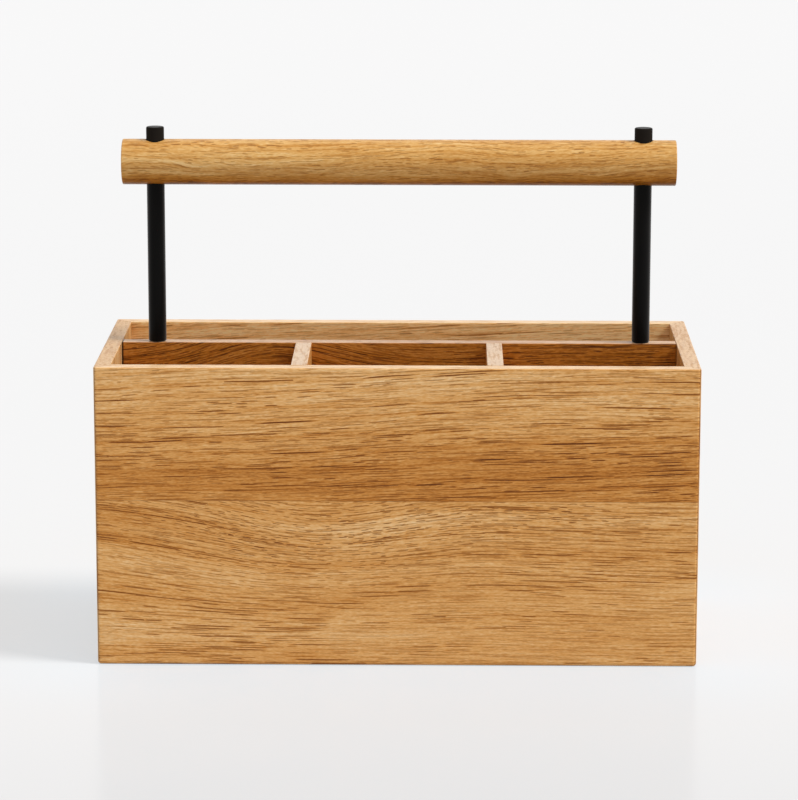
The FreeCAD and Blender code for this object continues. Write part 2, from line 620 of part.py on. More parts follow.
def make_post_cap(name, x):
    """A cap in the bar's counterbore, with a threaded shank down into the post. Its frame is at its seat."""
    body = new_part(f"{name}_post_cap")
    place(body, x, DIVIDER_MIDDLE, CAP_SEAT)
    radius = "(Sizes.cap_diameter / 2)"
    thread = "(Sizes.thread_diameter / 2)"
    chamfer = size("thread_chamfer")
    head = "(Sizes.cap_seat_depth + Sizes.cap_stand)"
    rounding = size("cap_round")
    shank = f"({CAP_SEAT} - {BAR_UNDERSIDE} - Sizes.post_recess + Sizes.cap_thread_bite)"
    outline = new_sketch(body, "outline", "XZ_Plane", "0")
    draw_outline(outline, [("0", f"-{shank}"), (f"{thread} - {chamfer}", f"-{shank}"),
                           (thread, f"{chamfer} - {shank}"), (thread, "0"), (radius, "0"),
                           (radius, f"{head} - {rounding}"), (f"{radius} - {rounding}", head),
                           ("0", head)], {5: rounding})
    revolve(body, "cap", outline)


def make_post_stud(name, x):
    """A stud with a metal thread up into the post and a wood thread down into the centre divider."""
    body = new_part(f"{name}_post_stud")
    place(body, x, DIVIDER_MIDDLE, RIM)
    thread = "(Sizes.thread_diameter / 2)"
    chamfer = size("thread_chamfer")
    tip = size("stud_wood_bite")
    top = size("stud_metal_bite")
    outline = new_sketch(body, "outline", "XZ_Plane", "0")
    draw_outline(outline, [("0", f"-{tip}"), ("Sizes.stud_tip_diameter / 2", f"-{tip}"),
                           (thread, f"Sizes.stud_point - {tip}"), (thread, f"{top} - {chamfer}"),
                           (f"{thread} - {chamfer}", top), ("0", top)])
    revolve(body, "stud", outline)


def check_document():
    """Stop if any object failed or any part's shape is unusable."""
    for item in document.Objects:
        if "Invalid" in item.State or "Error" in item.State:
            raise RuntimeError(f"{item.Label} did not build: {item.State}")
    for body in parts:
        if body.Shape.isNull() or not body.Shape.isValid() or not body.Shape.Solids:
            raise RuntimeError(f"{body.Label} has no valid solid")


def write_parts():
    """Write each part to a file of its own."""
    os.makedirs("parts", exist_ok=True)
    for body in parts:
        body.Shape.exportStep(os.path.join("parts", f"{body.Label}.step"))
        solids = len(body.Shape.Solids)
        print(f"{body.Label}: {solids} solid(s), {body.Shape.Volume:.0f} mm3")


make_walls()
make_splines()
make_bottom_panel()
make_centre_divider()
make_cross_dividers()
make_pins()
make_base_screws()
make_handle_bar()
for post_name, post_x in (("left", f"-{POST_X}"), ("right", POST_X)):
    make_post(post_name, post_x)
    make_post_cap(post_name, post_x)
    make_post_stud(post_name, post_x)
document.recompute()
check_document()
write_parts()
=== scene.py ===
"""Looks of the oak caddy: materials, floor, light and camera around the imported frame."""

import math
from dataclasses import dataclass

import bpy
from mathutils import Matrix, Vector


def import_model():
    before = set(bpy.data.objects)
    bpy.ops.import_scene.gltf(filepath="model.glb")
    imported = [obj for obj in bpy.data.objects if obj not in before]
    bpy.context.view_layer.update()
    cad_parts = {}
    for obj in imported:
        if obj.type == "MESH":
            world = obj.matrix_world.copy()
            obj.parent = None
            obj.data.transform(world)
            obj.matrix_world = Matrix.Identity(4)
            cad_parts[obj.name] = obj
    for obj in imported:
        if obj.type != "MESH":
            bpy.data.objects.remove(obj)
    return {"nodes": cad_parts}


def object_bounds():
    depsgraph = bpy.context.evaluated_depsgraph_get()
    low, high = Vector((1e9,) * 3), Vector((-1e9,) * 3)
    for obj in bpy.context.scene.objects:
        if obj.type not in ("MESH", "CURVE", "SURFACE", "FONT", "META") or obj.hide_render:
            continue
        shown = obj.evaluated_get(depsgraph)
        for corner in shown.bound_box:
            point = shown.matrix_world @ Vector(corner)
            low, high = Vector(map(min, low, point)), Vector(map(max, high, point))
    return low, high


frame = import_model()
cad_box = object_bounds()

# ------------------------------------------------------------------ named values

WHITE = (1.0, 1.0, 1.0, 1.0)
MM_PER_METRE = 1000.0

# The photograph's camera: 798 x 800 pixels, turned about Z, tipped down, hardly rolled.
CAMERA_PLACE = (0.02533, -1.93738, 0.53551)
CAMERA_TURN = 0.744
CAMERA_TIP = 11.695
CAMERA_ROLL = 0.060
CAMERA_LENS = 157.897
SENSOR_WIDTH = 36.0
NEAREST, FARTHEST = 0.05, 60.0

# Light. A soft source stands high on the right, a little to the front.
SKY_STRENGTH = 0.66
SEEN_BACKDROP = 0.940
KEY_STRENGTH = 2.26
KEY_ELEVATION = 48.0
KEY_TOWARDS_FRONT = 14.0
KEY_ANGLE = 18.5
KEY_DISTANCE = 3.0

FLOOR_RADIUS = 14.0
FLOOR_SIDES = 64
FLOOR_BOUNCE = (0.55, 0.55, 0.55, 1.0)
FLOOR_SHADED = (0.393, 0.393, 0.393, 1.0)
# The sheen takes less blue than red, and the glow makes up for it, so that the orange
# wood is reflected as a plain grey.
FLOOR_GLOW = (0.454, 0.501, 0.519, 1.0)
SHEEN_COLOUR = (1.0, 0.62, 0.49, 1.0)
SHEEN_SHARE = 0.12
SHEEN_ROUGHNESS = 0.16
# Beside the box a cooler glow evens out the orange light that the wood throws there.
GLOW_BESIDE = (0.447, 0.528, 0.574, 1.0)
BESIDE_REACH = 110.0
# Far away the floor is as pale as the backdrop.
GLOW_FAR = (0.473, 0.520, 0.538, 1.0)
FAR_FROM, FAR_TO = 500.0, 3500.0
# Painted shade makes the floor a little darker in front of the box; faintly mottled; in
# millimetres.
DARKER_PLACE = (0, -420)
DARKER_REACH = (700, 240)
DARKER_LEVEL = (0.903, 0.903, 0.905, 1.0)
MOTTLE_SIZE = 40
MOTTLE_SHARE = 0.04

# Oak from its darkest bands to its palest streaks, as sRGB.
OAK_TONES = (
    (0.00, (138, 79, 12)),
    (0.25, (181, 110, 34)),
    (0.50, (208, 141, 66)),
    (0.75, (230, 173, 103)),
    (1.00, (247, 205, 148)),
    (1.20, (255, 230, 186)),
)
OAK_IOR = 1.30
# Roughness, and what pores and streaks add to it.
OAK_ROUGHNESS = 0.32
PORE_ROUGHER, STREAK_ROUGHER = 0.30, 0.10
# How deep the pores are, in millimetres, and the height of the grain as a share of that.
PORE_DEPTH = 0.055
FIBRE_HEIGHT, SILK_HEIGHT = 0.5, 0.3

# Noise that bends the fibres, in millimetres along the grain, across it and into the board.
DRIFT_SIZE = (150, 60, 60)
RIPPLE_SIZE = (38, 14, 14)
SIDEWAYS_SIZE = (170, 70, 70)
# Each board lies this much further on in a noise than the one before.
BOARD_STEP = 613.0
RING_SLICE = 3.7
RIM_SLICE = 5.3

# Growth rings: how far a ring strays, in years, and the noise that it strays by, in
# millimetres along the grain and outwards.
RING_STRAY = 1.6
RING_STRAY_SIZE = (260, 9)
# Spring wood fades over the first half of a year, and the next year's begins at its end.
SPRING_FADES = (0.55, 0.05)
SPRING_RISES = (0.90, 1.0)

# Noise in the colour, in millimetres along the grain, across it and into the board.
SLOW_SIZE = (260, 17, 17)
STREAK_SIZE = (130, 3.4, 3.4)
FIBRE_THICKNESS = (0.85, 1.5)
SILK_SIZE = (2.6, 0.6, 0.9)
# How strongly each of them shows in the tone, and what evens out their mean.
SLOW_SHARE = 0.30
SILK_SHARE = 0.48
STAIN_SHARE = 0.37
RINGS_LIFT = 0.3
TONE_LIFT = 0.045

# Vessels: the room that each has along, across and into the grain, its length, its thickness.
LONG_VESSELS = ((30, 1.8, 2.2), 50.0, 0.72)
MID_VESSELS = ((16, 1.7, 2.0), 20.0, 0.62)
FINE_VESSELS = ((6, 1.2, 1.5), 8.0, 0.52)
# A vessel is cut at a slant, so it reaches this much further into the board than across.
VESSEL_SLANT = 2.4
# Each kind is moved along and across the pattern, so that no two kinds fall on each other.
MID_MOVED = (400, 3)
FINE_MOVED = (900, 5)
# What is left of the long ones between the years' beginnings, and of the mid ones between
# groups; the noise that groups them, and its levels outside and inside a group.
LONG_BETWEEN = 0.40
MID_BETWEEN = 0.30
GROUP_SIZE = (55, 7, 7)
GROUP_EDGE = (-0.12, 0.10)
FINE_STAINS = 0.7
# The least length, section and strength of a vessel, and what chance adds to each.
VESSEL_LENGTHS = (0.30, 0.70)
VESSEL_SECTIONS = (0.20, 0.95)
VESSEL_STRENGTHS = (0.60, 0.40)
# Where a vessel and the stain round it end and where they are full, 1 being its outline.
VESSEL_EDGE = (1.0, 0.60)
STAIN_EDGE = (2.8, 0.60)
# Where fine grooves between fibres begin and are full in the noise, and how dark they are.
GROOVE_EDGE = (-0.11, -0.20)
GROOVE_STRENGTH = 0.35
# What is left of the colour in a pore.
PORE_DARKENS = (0.20, 0.09, 0.02, 1.0)

# The streaks on an upper edge, whose paler colour is a painted sheen: what they keep of
# its colour, how long and wide they are, and the levels of their noise from streak to plain.
RIM_STREAK = (0.86, 0.77, 0.66)
RIM_STREAK_SIZE = (14, 1.8)
RIM_STREAK_EDGE = (0.36, 0.52)
# The height of the normal where a face begins to look up, and where it fully does.
LOOKS_UP = (0.55, 0.95)

# Lines along joints: half their width, half the width of their core, their strength, colour.
SEAM_LINE = (0.30, 0.05, 0.45, (116, 70, 32))
# The mitre line is a glue line and also painted shade on the corner.
MITRE_LINE_AND_SHADE = (0.60, 0.10, 0.55, (84, 46, 18))
# The gap line is a painted shadow in an open joint.
GAP_SHADOW_LINE = (1.00, 0.40, 0.85, (30, 15, 6))


def linear(rgb):
    """An sRGB colour, 0 to 255, as the linear RGBA that a node takes."""
    def channel(c):
        c = c / 255
        return c / 12.92 if c <= 0.04045 else ((c + 0.055) / 1.055) ** 2.4
    return tuple(channel(c) for c in rgb) + (1.0,)


# ------------------------------------------------------------------ node helpers

class Field:
    """A number that varies over a surface: one output socket of a graph."""

    def __init__(self, graph, socket):
        self.graph = graph
        self.socket = socket

    def __add__(self, other):
        return self.graph.math("ADD", self, other)

    def __sub__(self, other):
        return self.graph.math("SUBTRACT", self, other)

    def __mul__(self, other):
        return self.graph.math("MULTIPLY", self, other)

    def __truediv__(self, other):
        return self.graph.math("DIVIDE", self, other)

    __radd__ = __add__

    def power(self, exponent):
        return self.graph.math("POWER", self, exponent)

    def at_most(self, other):
        return self.graph.math("MINIMUM", self, other)

    def at_least(self, other):
        return self.graph.math("MAXIMUM", self, other)

    def fraction(self):
        return self.graph.math("FRACT", self)

    def size(self):
        return self.graph.math("ABSOLUTE", self)

    def step(self, low, high):
        """0 below low, 1 above high, smooth between; low may be the larger."""
        node = self.graph.node("ShaderNodeMapRange", interpolation_type="SMOOTHSTEP")
        self.graph.put(self, node.inputs["Value"])
        if low < high:
            bounds = (low, high, 0.0, 1.0)
        else:
            bounds = (high, low, 1.0, 0.0)
        for name, value in zip(("From Min", "From Max", "To Min", "To Max"), bounds):
            node.inputs[name].default_value = value
        return Field(self.graph, node.outputs["Result"])


class Graph:
    """The node tree of one new material or world."""

    def __init__(self, owner):
        self.owner = owner
        self.owner.use_nodes = True
        self.tree = self.owner.node_tree
        self.tree.nodes.clear()

    def node(self, kind, **settings):
        node = self.tree.nodes.new(kind)
        for name, value in settings.items():
            setattr(node, name, value)
        return node

    def put(self, value, socket):
        """Links a field or a socket to an input, or writes a plain value there."""
        if isinstance(value, Field):
            self.tree.links.new(value.socket, socket)
        elif isinstance(value, bpy.types.NodeSocket):
            self.tree.links.new(value, socket)
        else:
            socket.default_value = value

    def math(self, operation, *values):
        node = self.node("ShaderNodeMath", operation=operation)
        for value, socket in zip(values, node.inputs):
            self.put(value, socket)
        return Field(self, node.outputs[0])

    def place(self):
        """Where a point is in the part, in millimetres."""
        where = self.node("ShaderNodeTexCoord").outputs["Object"]
        scale = self.node("ShaderNodeVectorMath", operation="SCALE")
        self.put(where, scale.inputs[0])
        scale.inputs["Scale"].default_value = MM_PER_METRE
        return self.parts(scale.outputs[0])

    def facing_up(self):
        """1 on faces that look up, 0 on upright ones."""
        normal = self.node("ShaderNodeTexCoord").outputs["Normal"]
        return self.parts(normal)[2].step(*LOOKS_UP)

    def parts(self, vector):
        node = self.node("ShaderNodeSeparateXYZ")
        self.put(vector, node.inputs[0])
        return tuple(Field(self, socket) for socket in node.outputs)

    def vector(self, x, y, z):
        node = self.node("ShaderNodeCombineXYZ")
        for value, socket in zip((x, y, z), node.inputs):
            self.put(value, socket)
        return node.outputs[0]

    def noise(self, x, y, z, detail=2.0, roughness=0.5):
        """Smooth noise around 0, mostly between -0.3 and 0.3."""
        node = self.node("ShaderNodeTexNoise")
        self.put(self.vector(x, y, z), node.inputs["Vector"])
        node.inputs["Scale"].default_value = 1.0
        node.inputs["Detail"].default_value = detail
        node.inputs["Roughness"].default_value = roughness
        return Field(self, node.outputs[0]) - 0.5

    def sized_noise(self, point, size, **settings):
        """Noise whose humps are about this long on each axis."""
        x, y, z = (part / length for part, length in zip(point, size))
        return self.noise(x, y, z, **settings)

    def distance(self, x, y):
        return (x * x + y * y).power(0.5)

    def cells(self, x, y, z):
        """The nearest of the randomly placed points, and that point's random numbers."""
        node = self.node("ShaderNodeTexVoronoi")
        self.put(self.vector(x, y, z), node.inputs["Vector"])
        node.inputs["Scale"].default_value = 1.0
        return self.parts(node.outputs["Position"]), self.parts(node.outputs["Color"])

    def ramp(self, value, stops):
        """Colours along a value from 0 to the place of the last stop."""
        top = stops[-1][0]
        node = self.node("ShaderNodeValToRGB")
        self.put(value / top, node.inputs[0])
        elements = node.color_ramp.elements
        for number, (place, rgb) in enumerate(stops):
            element = elements[number] if number < 2 else elements.new(place)
            element.position = place / top
            element.color = linear(rgb)
        return node.outputs[0]

    def clouds(self, cloud, dark_rgb, pale_rgb):
        """Two colours that change into each other with a noise."""
        return self.ramp(cloud + 0.5, ((0.2, dark_rgb), (0.8, pale_rgb)))

    def mix(self, amount, below, above, blend="MIX"):
        node = self.node("ShaderNodeMix", data_type="RGBA", blend_type=blend)
        self.put(amount, node.inputs["Factor"])
        self.put(below, node.inputs[6])
        self.put(above, node.inputs[7])
        return node.outputs[2]

    def total(self, level, humps, u, v):
        """A level with humps added to it: where each is, how far it reaches, how high."""
        for at, reach, height in humps:
            level = level + hump(self, u, v, at, reach) * height
        return level

    def bump(self, height, depth):
        """A normal from a height field; depth is the height of 1, in millimetres."""
        node = self.node("ShaderNodeBump")
        node.inputs["Distance"].default_value = depth / MM_PER_METRE
        self.put(height, node.inputs["Height"])
        return node.outputs[0]

    def seen_rays(self):
        """1 for what the camera, a reflection or a view through glass sees."""
        path = self.node("ShaderNodeLightPath")
        camera_ray = Field(self, path.outputs["Is Camera Ray"])
        reflected = Field(self, path.outputs["Is Glossy Ray"])
        passed = Field(self, path.outputs["Is Transmission Ray"])
        return camera_ray.at_least(reflected).at_least(passed)

    def shader(self, kind, **sockets):
        """A shader with its own sockets set or linked, given back as its output."""
        node = self.node(kind)
        for name, value in sockets.items():
            self.put(value, node.inputs[name.replace("_", " ")])
        return node.outputs[0]

    def two_shaders(self, amount, below, above):
        node = self.node("ShaderNodeMixShader")
        for value, socket in zip((amount, below, above), node.inputs):
            self.put(value, socket)
        return node.outputs[0]

    def finish(self, kind, surface):
        """Puts a shader on the output node, and gives back the material or world."""
        self.put(surface, self.node(kind).inputs[0])
        return self.owner


def material_graph(name):
    return Graph(bpy.data.materials.new(name))


def principled(graph, **sockets):
    """Ends a material with the surface shader, its own sockets set or linked."""
    surface = graph.shader("ShaderNodeBsdfPrincipled", **sockets)
    return graph.finish("ShaderNodeOutputMaterial", surface)


# ------------------------------------------------------------------ oak

@dataclass
class Board:
    """How one board was cut from the tree, and what its faces show, in millimetres.

    Along the grain is u, across the grain on the broad face is v, and into the board is w.
    """

    grain: str = "x"  # the axis that the fibres follow
    face: str = "y"  # the axis across the broad face
    seed: int = 1
    pith: tuple = (60, 90)  # where the heart of the tree lies, in v and w
    ring: float = 4.5  # one year's growth
    rings: float = 0.11  # how much darker a year begins
    slope: float = 0.0  # how the fibres rise along u
    wander: float = 5.0  # how far they stray
    ripple: float = 0.16  # the share of that in short waves
    dips: tuple = ()  # bends of the fibres: place, reach, height
    tone: float = 0.5  # 0 dark, 1 pale
    bands: tuple = ()  # darker zones of figure, and on some boards painted light and shade: place, reach, how much darker
    streaks: float = 0.24  # how strongly streaks show
    fibre: float = 0.50  # how strongly single fibres show
    length: float = 24.0  # how long the fibres look
    pores: float = 1.0
    long_pores: float = 1.0
    fine_pores: float = 0.3
    swirls: tuple = ()  # where more fine pores are: place, reach, how many more
    seams: tuple = ()  # glue lines to the next board: axis, place
    mitres: tuple = ()  # mitres on the upright corners, drawn as glue lines that are also painted shade: axis, place
    gap_shadows: tuple = ()  # painted shadow lines in open joints at an end of the board: axis, place
    rim_and_sheen: tuple = (230, 200, 162)  # the upper edge, paler than the faces as a painted sheen, or None
    rim_sheen_cover: float = 0.72  # how much of the upper edge that painted sheen colour covers
    tint: tuple = None  # a colour that the wood is multiplied by

    def axes(self, x, y, z):
        places = {"x": x, "y": y, "z": z}
        across = ({"x", "y", "z"} - {self.grain, self.face}).pop()
        return places[self.grain], places[across], places[self.face]


def hump(graph, u, v, at, reach):
    """1 at a place on the board, falling to 0 over its reach in u and v."""
    du = (u - at[0]) / reach[0]
    dv = (v - at[1]) / reach[1]
    return graph.math("EXPONENT", (du * du + dv * dv) * -1.0)


def flow(graph, board, u, v, w):
    """Bends v and w so that a fibre keeps its v and w along its whole length."""
    far_u = u + board.seed * BOARD_STEP
    drift = graph.sized_noise((far_u, v, w), DRIFT_SIZE, detail=2.0)
    ripple = graph.sized_noise((far_u, v, w), RIPPLE_SIZE, detail=1.0)
    v = v - u * board.slope + drift * board.wander + ripple * (board.wander * board.ripple)
    for at, reach, height in board.dips:
        v = v - hump(graph, u, v, at, reach) * height
    along, across, inwards = SIDEWAYS_SIZE
    sideways = graph.noise(far_u / along + 31, v / across, w / inwards, detail=2.0)
    return far_u, v, w + sideways * board.wander


def varied(limits, chance):
    least, added = limits
    return least + chance * added


def dashes(graph, u, v, w, cell, length, thick):
    """Thin vessels along the grain with tapered ends, at random, 1 on their middle.

    The second field is the stained wood round them.
    """
    u, v, w = u / cell[0], v / cell[1], w / cell[2]
    (pu, pv, pw), (r1, r2, r3) = graph.cells(u, v, w)
    du = (u - pu) * (cell[0] * 2 / length) / varied(VESSEL_LENGTHS, r1)
    dv = (v - pv) * (cell[1] * 2 / thick)
    dw = (w - pw) * (cell[2] * 2 / (thick * VESSEL_SLANT))
    off = du.power(4.0) + (dv * dv + dw * dw) / varied(VESSEL_SECTIONS, r2)
    strength = varied(VESSEL_STRENGTHS, r3)
    return off.step(*VESSEL_EDGE) * strength, off.step(*STAIN_EDGE) * strength


def spring_wood(graph, board, u, v, w):
    """1 where a year begins, in rings round the heart of the tree, and 0 later in it."""
    radius = graph.distance(v - board.pith[0], w - board.pith[1])
    along, outwards = RING_STRAY_SIZE
    stray = graph.noise(u / along, radius / outwards, board.seed * RING_SLICE)
    season = (radius / board.ring + stray * RING_STRAY).fraction()
    return season.step(*SPRING_FADES) + season.step(*SPRING_RISES)


def open_pores(graph, board, u, v, w, u0, spring):
    """The open pores, and the stained wood round them.

    Long pores crowd into each year's beginning, shorter ones lie between, in loose groups.
    """
    group = graph.sized_noise((u, v, w), GROUP_SIZE).step(*GROUP_EDGE)
    many_long = (LONG_BETWEEN + spring * (1 - LONG_BETWEEN)) * board.long_pores
    many_mid = (group * (1 - MID_BETWEEN) + MID_BETWEEN) * board.pores
    many_fine = graph.total(board.fine_pores, board.swirls, u0, v)

    long_pores, long_stains = dashes(graph, u, v, w, *LONG_VESSELS)
    along, across = MID_MOVED
    mid_pores, mid_stains = dashes(graph, u + along, v + across, w, *MID_VESSELS)
    along, across = FINE_MOVED
    fine_pores, fine_stains = dashes(graph, u + along, v + across, w, *FINE_VESSELS)
    pores = (long_pores * many_long).at_least(mid_pores * many_mid)
    pores = pores.at_least(fine_pores * many_fine)
    stains = (long_stains * many_long).at_least(mid_stains * many_mid)
    stains = stains.at_least(fine_stains * many_fine * FINE_STAINS)
    return pores, stains


def rim_grain_and_painted_sheen(graph, board, u, v, w, colour):
    """Lays a paler colour over what looks up: a painted sheen, streaked with the grain of the
    upper edge.
    """
    along, across = RIM_STREAK_SIZE
    figure = graph.noise((u + v) / along, w / across, board.seed * RIM_SLICE, detail=2.0)
    streak_rgb = tuple(part * share for part, share in zip(board.rim_and_sheen, RIM_STREAK))
    stops = tuple(zip(RIM_STREAK_EDGE, (streak_rgb, board.rim_and_sheen)))
    rim_sheen_colour = graph.ramp(figure + 0.5, stops)
    return graph.mix(graph.facing_up() * board.rim_sheen_cover, colour, rim_sheen_colour)


def joint_lines(graph, places, joints, look, colour):
    """Draws a dark line wherever a joint meets the surface; at mitres it is also painted
    shade, at gaps a painted shadow.
    """
    outer, core, strength, rgb = look
    for axis, at in joints:
        line = (places[axis] - at).size().step(outer, core)
        colour = graph.mix(line * strength, colour, linear(rgb))
    return colour


def oak(name, board):
    graph = material_graph(name)
    x, y, z = graph.place()
    u0, v0, w0 = board.axes(x, y, z)
    u, v, w = flow(graph, board, u0, v0, w0)
    spring = spring_wood(graph, board, u, v, w)

    # Single fibres with fine grooves between them, and open pores.
    fibre_size = (board.length, *FIBRE_THICKNESS)
    fibres = graph.sized_noise((u, v, w), fibre_size, detail=2.0, roughness=0.55)
    silk = graph.sized_noise((u, v, w), SILK_SIZE, detail=1.0)
    grooves = fibres.step(*GROOVE_EDGE) * GROOVE_STRENGTH
    pores, stains = open_pores(graph, board, u, v, w, u0, spring)
    pores = pores.at_least(grooves).at_most(1.0)

    # Colour drifts slowly, in streaks along the grain, down to single fibres.
    slow = graph.sized_noise((u, v, w), SLOW_SIZE, detail=1.0)
    streak = graph.sized_noise((u, v, w), STREAK_SIZE, detail=1.5)
    tone = slow * SLOW_SHARE + streak * board.streaks
    tone = tone + fibres * board.fibre + silk * SILK_SHARE
    tone = tone - spring * board.rings - stains * STAIN_SHARE
    tone = tone + (board.tone + board.rings * RINGS_LIFT + TONE_LIFT)
    tone = tone - graph.total(0.0, board.bands, u0, v)
    colour = graph.ramp(tone, OAK_TONES)
    if board.tint:
        colour = graph.mix(1.0, colour, linear(board.tint), blend="MULTIPLY")
    colour = graph.mix(pores, colour, PORE_DARKENS, blend="MULTIPLY")
    # Faces that look up get a paler colour: a painted sheen, streaked with grain.
    if board.rim_and_sheen:
        colour = rim_grain_and_painted_sheen(graph, board, u, v, w, colour)

    places = {"x": x, "y": y, "z": z}
    colour = joint_lines(graph, places, board.seams, SEAM_LINE, colour)
    colour = joint_lines(graph, places, board.mitres, MITRE_LINE_AND_SHADE, colour)
    colour = joint_lines(graph, places, board.gap_shadows, GAP_SHADOW_LINE, colour)

    height = fibres * FIBRE_HEIGHT + silk * SILK_HEIGHT - pores
    return principled(
        graph,
        Base_Color=colour,
        Roughness=pores * PORE_ROUGHER + streak * STREAK_ROUGHER + OAK_ROUGHNESS,
        IOR=OAK_IOR,
        Normal=graph.bump(height, PORE_DEPTH),
    )


# The mitres of the box come out on its upright corners, here across and along the box.
# Their dark lines are glue lines, and also painted shade on the rounded corners.
FRONT_MITRES = (("x", -164.41), ("x", 164.41))
SIDE_MITRES = (("y", -72.41), ("y", 72.41))
# The glue lines between the two boards of a wall, or of the centre divider.
FRONT_SEAM = (("z", 93.0),)
BACK_SEAM = (("z", 78.0),)
LEFT_SEAM = (("y", -15.0),)
RIGHT_SEAM = (("y", 21.0),)
DIVIDER_SEAM = (("z", 82.0),)
# The centre divider doesn't quite reach the left side; a painted shadow line marks the gap.
DIVIDER_GAP_SHADOW = (("x", -155.7),)
# Colours of the upper edges, paler than the faces: a painted sheen.
LEFT_RIM_AND_SHEEN = (200, 162, 118)
RIGHT_RIM_AND_SHEEN = (219, 190, 155)
CROSS_RIM_AND_SHEEN = (223, 202, 176)

# What each board shows. Places on the front are in millimetres: x across, z up.
BOARDS = {
    "front_panel_upper_stave": Board(
        seed=1, pith=(-40, 150), ring=5.0, slope=0.032, wander=5.0, tone=0.76,
        dips=(((70, 150), (75, 26), 4.0),),
        bands=(((0, 98), (900, 34), 0.30), ((-30, 100), (90, 4.5), 0.08),
               ((95, 107), (75, 5), 0.15), ((-150, 138), (34, 9), 0.08),
               ((-105, 160), (70, 10), 0.07), ((-120, 120), (60, 8), 0.04),
               ((30, 160), (60, 8), -0.10), ((110, 138), (60, 10), -0.07)),
        pores=0.9, fine_pores=0.45, rim_and_sheen=(238, 207, 166),
        seams=FRONT_SEAM, mitres=FRONT_MITRES,
    ),
    "front_panel_lower_stave": Board(
        seed=2, pith=(20, 120), ring=3.4, wander=3.0, tone=0.68,
        dips=(((-190, 72), (95, 42), 16.0), ((-45, 80), (55, 26), -8.0),
              ((50, 66), (60, 40), 3.0)),
        bands=(((-150, 71), (36, 4), 0.14), ((-150, 58), (40, 5), 0.10),
               ((95, 28), (90, 3.5), 0.10), ((0, 36), (50, 9), 0.06),
               ((-120, 22), (90, 16), -0.10), ((-20, 82), (70, 12), -0.17),
               ((120, 86), (70, 8), -0.05)),
        rings=0.09, long_pores=0.75, pores=0.75, fine_pores=0.25, length=34.0,
        streaks=0.18,
        swirls=(((-60, 74), (110, 26), 0.85), ((90, 84), (70, 12), 0.60)),
        seams=FRONT_SEAM, mitres=FRONT_MITRES,
    ),
    # Partly painted light and shade: paler overall and at its upper right, darker at its left.
    "back_panel_upper_stave": Board(
        seed=3, pith=(40, -80), ring=4.2, slope=0.05, tone=1.06, pores=0.7,
        long_pores=0.8, bands=(((-90, 150), (110, 60), 0.04), ((130, 155), (90, 40), -0.14)),
        tint=(261, 247, 222), seams=BACK_SEAM, mitres=FRONT_MITRES,
    ),
    "back_panel_lower_stave": Board(
        seed=4, pith=(70, -90), ring=4.8, slope=-0.02, tone=0.86,
        seams=BACK_SEAM, mitres=FRONT_MITRES,
    ),
    # The left side is paler than the right, partly as painted light on its inner face.
    "left_side_front_stave": Board(
        grain="z", face="x", seed=5, pith=(-30, -60), ring=3.6, tone=0.86,
        rim_and_sheen=LEFT_RIM_AND_SHEEN, rim_sheen_cover=0.66, seams=LEFT_SEAM, mitres=SIDE_MITRES,
    ),
    "left_side_rear_stave": Board(
        grain="z", face="x", seed=6, pith=(50, 70), ring=4.4, tone=0.86,
        rim_and_sheen=LEFT_RIM_AND_SHEEN, rim_sheen_cover=0.66, seams=LEFT_SEAM, mitres=SIDE_MITRES,
    ),
    "right_side_front_stave": Board(
        grain="z", face="x", seed=7, pith=(20, -80), ring=4.0, tone=0.70,
        rim_and_sheen=RIGHT_RIM_AND_SHEEN, rim_sheen_cover=0.66, seams=RIGHT_SEAM, mitres=SIDE_MITRES,
    ),
    "right_side_rear_stave": Board(
        grain="z", face="x", seed=8, pith=(-20, 90), ring=3.8, tone=0.68,
        rim_and_sheen=RIGHT_RIM_AND_SHEEN, rim_sheen_cover=0.66, seams=RIGHT_SEAM, mitres=SIDE_MITRES,
    ),
    "bottom_panel": Board(
        grain="x", face="z", seed=9, pith=(10, -200), ring=5.0, wander=9.0, pores=0.8,
        rim_and_sheen=None,
    ),
    "centre_divider_lower_stave": Board(
        seed=10, pith=(30, 70), ring=3.6, tone=0.34, seams=DIVIDER_SEAM,
        gap_shadows=DIVIDER_GAP_SHADOW,
    ),
    "centre_divider_upper_stave": Board(
        seed=11, pith=(90, 60), ring=3.4, slope=0.03, tone=0.27, rings=0.05,
        dips=(((-70, 170), (50, 60), 16.0),), streaks=0.12, fibre=0.36,
        fine_pores=0.7, rim_and_sheen=(226, 190, 155), seams=DIVIDER_SEAM, gap_shadows=DIVIDER_GAP_SHADOW,
    ),
    "left_cross_divider": Board(
        grain="z", face="x", seed=12, pith=(-20, -90), ring=3.8, tone=0.62,
        rim_and_sheen=CROSS_RIM_AND_SHEEN,
    ),
    "right_cross_divider": Board(
        grain="z", face="x", seed=13, pith=(20, 80), ring=4.2, tone=0.62,
        rim_and_sheen=CROSS_RIM_AND_SHEEN,
    ),
    "handle_bar": Board(
        seed=14, pith=(310, 40), ring=3.6, wander=12.0, ripple=0.6, slope=0.012, tone=0.65,
        # The wide band along the bar's underside is painted shade; the small patch at its left
        # end is a knot.
        bands=(((0, 253), (900, 7), 0.90), ((-150, 262), (16, 6), 0.16)),
        pores=0.3, long_pores=0.2, fine_pores=0.5, fibre=0.40, streaks=0.42, length=28.0,
        rim_and_sheen=None, tint=(245, 254, 255),
    ),
}

HIDDEN_OAK = (
    "front_left_mitre_spline", "front_right_mitre_spline",
    "back_left_mitre_spline", "back_right_mitre_spline",
    "centre_divider_pins", "left_cross_divider_pins", "right_cross_divider_pins",
)
HIDDEN_BOARD = Board(grain="z", seed=20, pith=(80, 80), tone=0.85)


# ------------------------------------------------------------------ metal

POSTS = ("left_post", "right_post")
CAPS = ("left_post_cap", "right_post_cap")
STEEL = ("base_screws", "left_post_stud", "right_post_stud")

